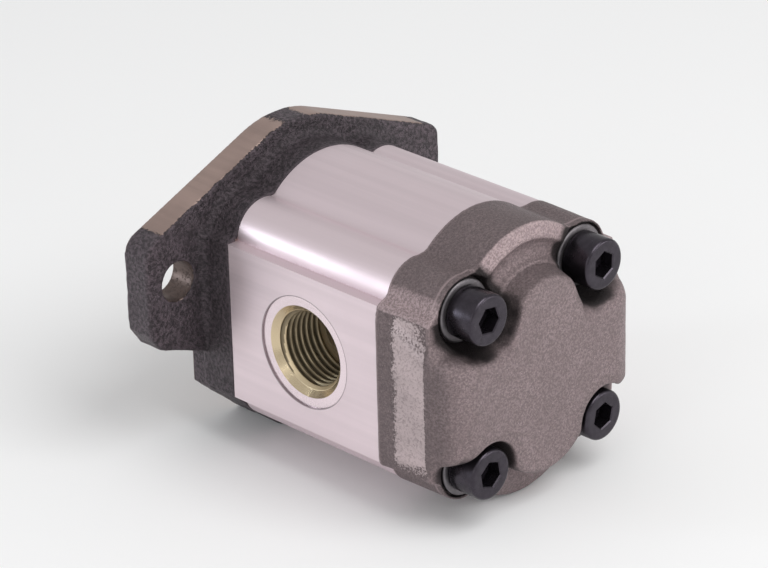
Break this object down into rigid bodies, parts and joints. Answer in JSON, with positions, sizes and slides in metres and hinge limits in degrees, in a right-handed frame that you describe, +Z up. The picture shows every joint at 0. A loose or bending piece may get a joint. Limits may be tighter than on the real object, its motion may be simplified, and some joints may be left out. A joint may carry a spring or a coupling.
{
  "type": "hydraulic gear pump",
  "caption": "External gear pump: splined shaft end, two-ear cast flange, aluminium body with a threaded port on each side and a domed cast rear cover held by socket screws.",
  "frame": {"origin": "where the shaft axis meets the flange's mounting face", "axes": "-Y along the shaft towards its splined end, +Y towards the rear cover, +X through the inlet port, +Z up, with the driven gear below the drive gear"},
  "size_m": [0.1026, 0.1156, 0.0765],
  "materials": {
    "cast_iron_flange": "dark sand-cast skin",
    "cast_iron_cover": "blasted cast skin",
    "body_aluminium": "extruded, fine-milled port faces",
    "block_aluminium": "turned, satin",
    "gear_steel": "case-hardened and ground",
    "bush_bronze": "dry bearing liner",
    "seal_rubber": "matt",
    "backup_ptfe": "waxy white",
    "seal_steel": "pressed",
    "spring_steel": "phosphated",
    "black_oxide_steel": "black oxide, oiled",
    "washer_steel": "grey zinc"
  },
  "bodies": {
    "housing": {"front_flange": "cast_iron_flange", "pump_body": "body_aluminium", "rear_cover": "cast_iron_cover", "front_bearing_block": "block_aluminium", "rear_bearing_block": "block_aluminium", "front_drive_bush": "bush_bronze", "front_driven_bush": "bush_bronze", "rear_drive_bush": "bush_bronze", "rear_driven_bush": "bush_bronze", "front_balance_seal": "seal_rubber", "rear_balance_seal": "seal_rubber", "front_backup_strip": "backup_ptfe", "rear_backup_strip": "backup_ptfe", "front_body_seal": "seal_rubber", "rear_body_seal": "seal_rubber", "shaft_seal_case": "seal_steel", "shaft_seal_lip": "seal_rubber", "garter_spring": "spring_steel", "retaining_ring": "spring_steel", "cover_screws": "black_oxide_steel", "screw_washers": "washer_steel", "dowel_sleeves": "seal_steel"},
    "drive_gear": {"drive_gear_shaft": "gear_steel"},
    "driven_gear": {"driven_gear_shaft": "gear_steel"}
  },
  "joints": [
    {"name": "drive_spin", "type": "hinge", "parent": "housing", "child": "drive_gear", "pos_m": [0, 0, 0], "axis": [0, 1, 0], "continuous": true},
    {"name": "driven_spin", "type": "hinge", "parent": "housing", "child": "driven_gear", "pos_m": [0, 0, -0.022], "axis": [0, 1, 0], "continuous": true}
  ],
  "couplings": [
    {"joint": "driven_spin", "follows": "drive_spin", "ratio": -1}
  ]
}
